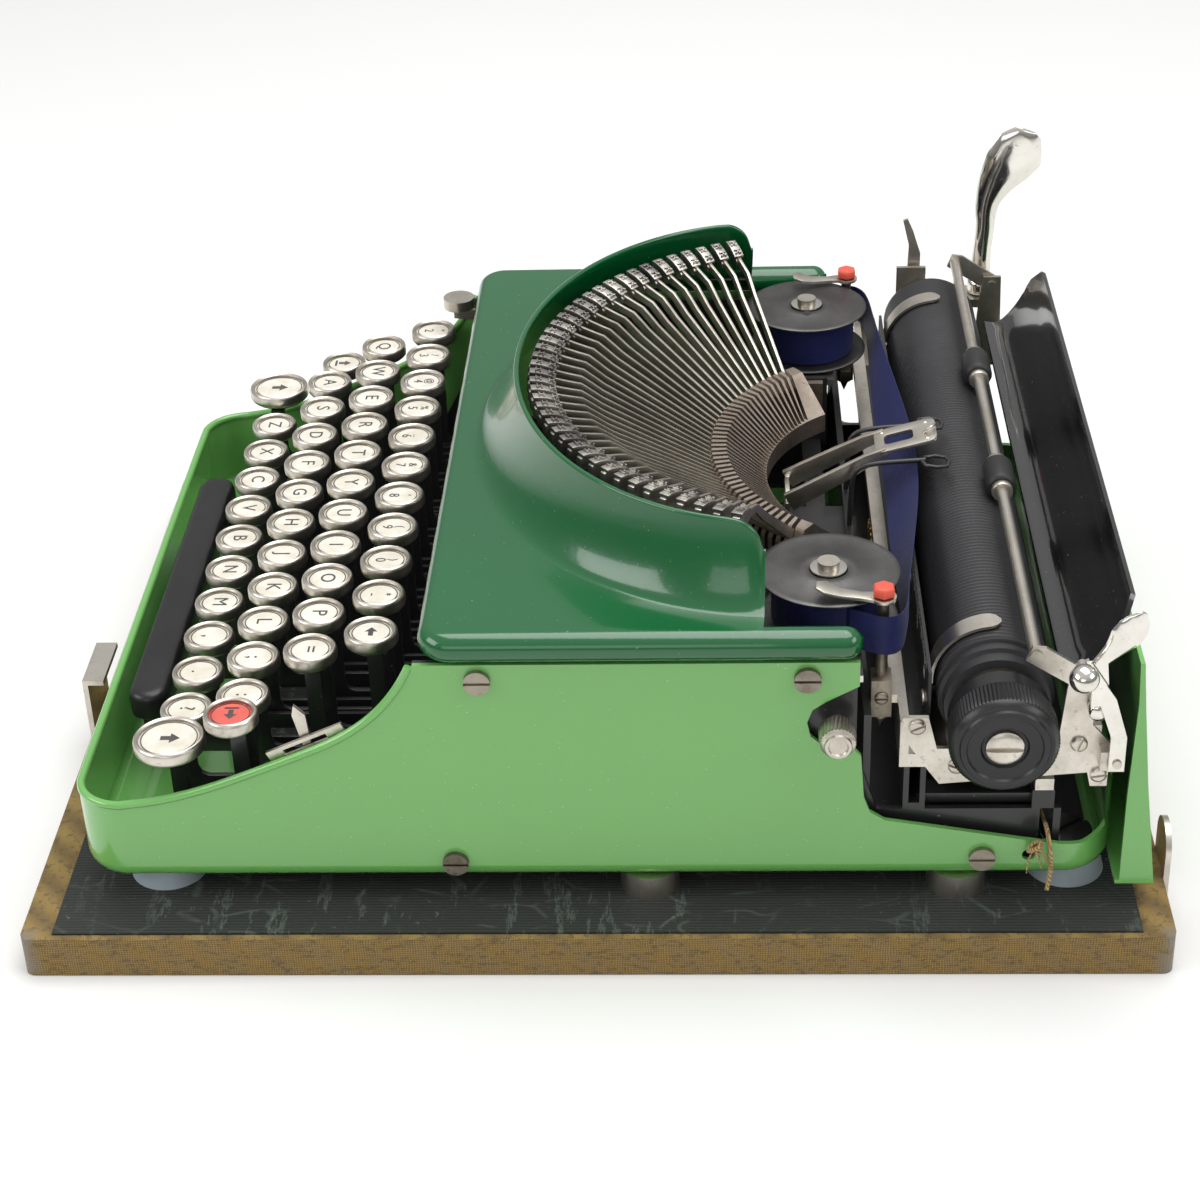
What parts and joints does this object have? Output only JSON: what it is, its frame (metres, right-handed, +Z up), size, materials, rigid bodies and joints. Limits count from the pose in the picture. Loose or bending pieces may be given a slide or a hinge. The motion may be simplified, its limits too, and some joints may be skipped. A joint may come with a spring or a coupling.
{
  "type": "portable typewriter",
  "caption": "two-tone green portable typewriter on its case board, with glass-topped keys, a raised type basket, ribbon spools and a sliding platen carriage",
  "frame": {"origin": "centre of the underside of the case board", "axes": "+X is the typist's right, +Y is the rear (carriage side), +Z is up"},
  "size_m": [0.2769, 0.3212, 0.1364],
  "materials": {
    "tweed_board": "tweed cloth over wood",
    "lining_cloth": "ribbed dark cloth",
    "aged_nickel": "aged bright nickel plate",
    "grey_rubber": "matt grey rubber",
    "light_green_enamel": "glossy light green enamel",
    "dark_green_enamel": "glossy dark green enamel",
    "black_enamel": "satin black japan",
    "key_mix": "nickel rings, cream glass and black levers",
    "black_bakelite": "black bakelite",
    "type_steel": "grey steel",
    "segment_metal": "brownish nickel",
    "spool_gunmetal": "satin gunmetal",
    "navy_ribbon": "inked cotton",
    "platen_rubber": "hard black rubber with fine rings",
    "glossy_black": "glossy black enamel",
    "draw_string": "waxed string",
    "brass": "dull brass",
    "black_rubber": "black rubber"
  },
  "bodies": {
    "root": {"case_board": "tweed_board", "board_lining": "lining_cloth", "board_hardware": "aged_nickel", "machine_feet": "grey_rubber", "body_shell": "light_green_enamel", "body_screws": "aged_nickel", "rear_panel": "light_green_enamel", "top_cover": "dark_green_enamel", "base_frame": "black_enamel", "key_comb": "black_enamel", "spool_supports": "aged_nickel", "ribbon_guides": "aged_nickel", "ribbon": "navy_ribbon", "selector_plate": "aged_nickel", "bell": "aged_nickel", "draw_cord": "draw_string"},
    "keys_digit_row": {"keys_digit_row": "key_mix"},
    "keys_upper_row": {"keys_upper_row": "key_mix"},
    "keys_home_row": {"keys_home_row": "key_mix"},
    "keys_lower_row": {"keys_lower_row": "key_mix"},
    "key_g": {"key_g": "key_mix"},
    "key_h": {"key_h": "key_mix"},
    "shift_key_left": {"shift_key_left": "key_mix"},
    "shift_key_right": {"shift_key_right": "key_mix"},
    "shift_lock": {"shift_lock": "key_mix"},
    "tab_key": {"tab_key": "key_mix"},
    "back_spacer": {"back_spacer": "key_mix"},
    "space_bar": {"space_bar": "black_bakelite"},
    "margin_release": {"margin_release": "aged_nickel"},
    "type_basket": {"type_segment": "segment_metal", "type_bars": "type_steel"},
    "raising_knob": {"raising_knob": "aged_nickel"},
    "type_bar_g": {"type_bar_g": "type_steel"},
    "type_bar_h": {"type_bar_h": "type_steel"},
    "ribbon_spool_right": {"ribbon_spool_right": "spool_gunmetal"},
    "ribbon_spool_left": {"ribbon_spool_left": "spool_gunmetal"},
    "ribbon_vibrator": {"ribbon_vibrator": "aged_nickel"},
    "selector_lever": {"selector_lever": "aged_nickel"},
    "reverse_lever_right": {"reverse_lever_right": "aged_nickel"},
    "reverse_lever_left": {"reverse_lever_left": "aged_nickel"},
    "shift_frame": {"carriage_rails": "black_enamel"},
    "carriage": {"carriage_frame": "aged_nickel", "paper_table": "glossy_black", "scale_plate": "black_enamel", "paper_fingers": "aged_nickel"},
    "platen_assembly": {"platen": "platen_rubber", "platen_shaft": "aged_nickel", "platen_knob": "black_bakelite"},
    "feed_roller": {"feed_roller": "black_rubber"},
    "paper_bail": {"paper_bail": "aged_nickel"},
    "bail_rollers": {"bail_rollers": "black_rubber"},
    "return_lever": {"return_lever": "aged_nickel"},
    "line_space_lever": {"line_space_lever": "aged_nickel"},
    "paper_release_lever": {"paper_release_lever": "aged_nickel"},
    "carriage_release_lever": {"carriage_release_lever": "aged_nickel"},
    "margin_stop_left": {"margin_stop_left": "aged_nickel"},
    "margin_stop_right": {"margin_stop_right": "aged_nickel"},
    "mainspring_drum": {"mainspring_drum": "black_enamel"},
    "escape_wheel": {"escape_wheel": "brass"},
    "bell_hammer": {"bell_hammer": "aged_nickel"}
  },
  "joints": [
    {"name": "keys_digit_row_press", "type": "hinge", "parent": "root", "child": "keys_digit_row", "pos_m": [0, 0.038, 0.064], "axis": [1, 0, 0], "range_deg": [0, 5.53], "stiffness_Nm_per_rad": 0.35, "springref_deg": -28.65},
    {"name": "keys_upper_row_press", "type": "hinge", "parent": "root", "child": "keys_upper_row", "pos_m": [0, 0.038, 0.064], "axis": [1, 0, 0], "range_deg": [0, 4.7], "stiffness_Nm_per_rad": 0.35, "springref_deg": -28.65},
    {"name": "keys_home_row_press", "type": "hinge", "parent": "root", "child": "keys_home_row", "pos_m": [0, 0.038, 0.064], "axis": [1, 0, 0], "range_deg": [0, 4.07], "stiffness_Nm_per_rad": 0.35, "springref_deg": -28.65},
    {"name": "keys_lower_row_press", "type": "hinge", "parent": "root", "child": "keys_lower_row", "pos_m": [0, 0.038, 0.064], "axis": [1, 0, 0], "range_deg": [0, 3.56], "stiffness_Nm_per_rad": 0.35, "springref_deg": -28.65},
    {"name": "key_g_press", "type": "hinge", "parent": "root", "child": "key_g", "pos_m": [0, 0.038, 0.064], "axis": [1, 0, 0], "range_deg": [0, 4.07], "stiffness_Nm_per_rad": 0.08, "springref_deg": -28.65},
    {"name": "key_h_press", "type": "hinge", "parent": "root", "child": "key_h", "pos_m": [0, 0.038, 0.064], "axis": [-1, 0, 0], "range_deg": [-4.07, 0], "stiffness_Nm_per_rad": 0.08, "springref_deg": 28.65},
    {"name": "shift_key_left_press", "type": "hinge", "parent": "root", "child": "shift_key_left", "pos_m": [0, 0.038, 0.064], "axis": [1, 0, 0], "range_deg": [0, 2.61], "stiffness_Nm_per_rad": 0.2, "springref_deg": -28.65},
    {"name": "shift_key_right_press", "type": "hinge", "parent": "root", "child": "shift_key_right", "pos_m": [0, 0.038, 0.064], "axis": [1, 0, 0], "range_deg": [0, 2.61], "stiffness_Nm_per_rad": 0.2, "springref_deg": -28.65},
    {"name": "shift_lock_press", "type": "hinge", "parent": "root", "child": "shift_lock", "pos_m": [0, 0.038, 0.064], "axis": [1, 0, 0], "range_deg": [0, 2.19], "stiffness_Nm_per_rad": 0.08, "springref_deg": -28.65},
    {"name": "tab_key_press", "type": "hinge", "parent": "root", "child": "tab_key", "pos_m": [0, 0.038, 0.064], "axis": [1, 0, 0], "range_deg": [0, 3.41], "stiffness_Nm_per_rad": 0.08, "springref_deg": -28.65},
    {"name": "back_spacer_press", "type": "hinge", "parent": "root", "child": "back_spacer", "pos_m": [0, 0.038, 0.064], "axis": [1, 0, 0], "range_deg": [0, 5.24], "stiffness_Nm_per_rad": 0.08, "springref_deg": -28.65},
    {"name": "space_bar_press", "type": "hinge", "parent": "root", "child": "space_bar", "pos_m": [0, 0.038, 0.064], "axis": [1, 0, 0], "range_deg": [0, 2.03], "stiffness_Nm_per_rad": 0.2, "springref_deg": -28.65},
    {"name": "margin_release_press", "type": "hinge", "parent": "root", "child": "margin_release", "pos_m": [-0.1094, -0.01, 0.0865], "axis": [1, 0, 0], "range_deg": [0, 5.5], "stiffness_Nm_per_rad": 0.02, "springref_deg": -28.65},
    {"name": "basket_tilt", "type": "hinge", "parent": "root", "child": "type_basket", "pos_m": [0, 0.066, 0.084], "axis": [1, 0, 0], "range_deg": [0, 14]},
    {"name": "raising_knob_turn", "type": "hinge", "parent": "root", "child": "raising_knob", "pos_m": [0.118, 0.0665, 0.0715], "axis": [1, 0, 0], "range_deg": [0, 112]},
    {"name": "type_bar_g_swing", "type": "hinge", "parent": "type_basket", "child": "type_bar_g", "pos_m": [-0.0013, 0.03601, 0.0895], "axis": [-0.9998, 0.0213, 0], "range_deg": [0, 137]},
    {"name": "type_bar_h_swing", "type": "hinge", "parent": "type_basket", "child": "type_bar_h", "pos_m": [0.0013, 0.03601, 0.0895], "axis": [0.9998, 0.0213, 0], "range_deg": [-137, 0]},
    {"name": "ribbon_spool_right_turn", "type": "hinge", "parent": "root", "child": "ribbon_spool_right", "pos_m": [0.0834, 0.0652, 0.094], "axis": [0, 0, 1], "continuous": true},
    {"name": "ribbon_spool_left_turn", "type": "hinge", "parent": "root", "child": "ribbon_spool_left", "pos_m": [-0.0834, 0.0652, 0.094], "axis": [0, 0, 1], "continuous": true},
    {"name": "vibrator_lift", "type": "slide", "parent": "root", "child": "ribbon_vibrator", "axis": [0, 0, 1], "range_m": [0, 0.004], "stiffness_N_per_m": 30, "springref_m": -0.004},
    {"name": "selector_slide", "type": "slide", "parent": "root", "child": "selector_lever", "axis": [0, 0.9121, 0.4099], "range_m": [-0.003, 0.005]},
    {"name": "reverse_lever_right_swing", "type": "hinge", "parent": "root", "child": "reverse_lever_right", "pos_m": [0.1005, 0.079, 0.104], "axis": [0, 0, 1], "range_deg": [-12, 25]},
    {"name": "reverse_lever_left_swing", "type": "hinge", "parent": "root", "child": "reverse_lever_left", "pos_m": [-0.1005, 0.079, 0.104], "axis": [0, 0, -1], "range_deg": [-12, 25]},
    {"name": "shift_lift", "type": "slide", "parent": "root", "child": "shift_frame", "axis": [0, 0, 1], "range_m": [0, 0.004]},
    {"name": "carriage_slide", "type": "slide", "parent": "shift_frame", "child": "carriage", "axis": [1, 0, 0], "range_m": [-0.083, 0.105]},
    {"name": "platen_turn", "type": "hinge", "parent": "carriage", "child": "platen_assembly", "pos_m": [0, 0.1093, 0.0747], "axis": [1, 0, 0], "continuous": true},
    {"name": "feed_roller_turn", "type": "hinge", "parent": "carriage", "child": "feed_roller", "pos_m": [0, 0.1195, 0.05703], "axis": [1, 0, 0], "continuous": true},
    {"name": "bail_lift", "type": "hinge", "parent": "carriage", "child": "paper_bail", "pos_m": [0, 0.131, 0.085], "axis": [-1, 0, 0], "range_deg": [0, 55]},
    {"name": "bail_rollers_turn", "type": "hinge", "parent": "paper_bail", "child": "bail_rollers", "pos_m": [0, 0.118, 0.093], "axis": [1, 0, 0], "continuous": true},
    {"name": "return_lever_swing", "type": "hinge", "parent": "carriage", "child": "return_lever", "pos_m": [-0.1394, 0.1275, 0.082], "axis": [0, 0, -1], "range_deg": [0, 30]},
    {"name": "line_space_lever_tilt", "type": "hinge", "parent": "carriage", "child": "line_space_lever", "pos_m": [-0.135, 0.104, 0.09], "axis": [1, 0, 0], "range_deg": [0, 20]},
    {"name": "paper_release_turn", "type": "hinge", "parent": "carriage", "child": "paper_release_lever", "pos_m": [0.1154, 0.135, 0.0765], "axis": [1, 0, 0], "range_deg": [0, 18]},
    {"name": "carriage_release_press", "type": "hinge", "parent": "carriage", "child": "carriage_release_lever", "pos_m": [0.119, 0.1406, 0.0615], "axis": [1, 0, 0], "range_deg": [0, 8], "stiffness_Nm_per_rad": 0.05, "springref_deg": -17.19},
    {"name": "margin_stop_left_slide", "type": "slide", "parent": "carriage", "child": "margin_stop_left", "axis": [1, 0, 0], "range_m": [-0.025, 0.05]},
    {"name": "margin_stop_right_slide", "type": "slide", "parent": "carriage", "child": "margin_stop_right", "axis": [1, 0, 0], "range_m": [-0.05, 0.025]},
    {"name": "drum_turn", "type": "hinge", "parent": "root", "child": "mainspring_drum", "pos_m": [-0.084, 0.107, 0.028], "axis": [0, 0, 1], "range_deg": [-305, 390]},
    {"name": "escape_wheel_turn", "type": "hinge", "parent": "root", "child": "escape_wheel", "pos_m": [0, 0.0826, 0.058], "axis": [0, 1, 0], "range_deg": [-540, 680]},
    {"name": "bell_hammer_swing", "type": "hinge", "parent": "root", "child": "bell_hammer", "pos_m": [0.077, 0.116, 0.03], "axis": [0, 0, 1], "range_deg": [0, 16], "stiffness_Nm_per_rad": 0.002, "springref_deg": -28.65}
  ],
  "couplings": [
    {"joint": "type_bar_g_swing", "follows": "key_g_press", "ratio": 33.651},
    {"joint": "type_bar_h_swing", "follows": "key_h_press", "ratio": 33.651},
    {"joint": "raising_knob_turn", "follows": "basket_tilt", "ratio": 8},
    {"joint": "shift_key_right_press", "follows": "shift_key_left_press", "ratio": 1},
    {"joint": "shift_lift", "follows": "shift_key_left_press", "m_per_rad": 0.087},
    {"joint": "reverse_lever_left_swing", "follows": "reverse_lever_right_swing", "ratio": 1},
    {"joint": "ribbon_spool_left_turn", "follows": "ribbon_spool_right_turn", "ratio": 1},
    {"joint": "feed_roller_turn", "follows": "platen_turn", "ratio": -3.4667},
    {"joint": "drum_turn", "follows": "carriage_slide", "rad_per_m": 62.5},
    {"joint": "escape_wheel_turn", "follows": "carriage_slide", "rad_per_m": 110.91}
  ]
}
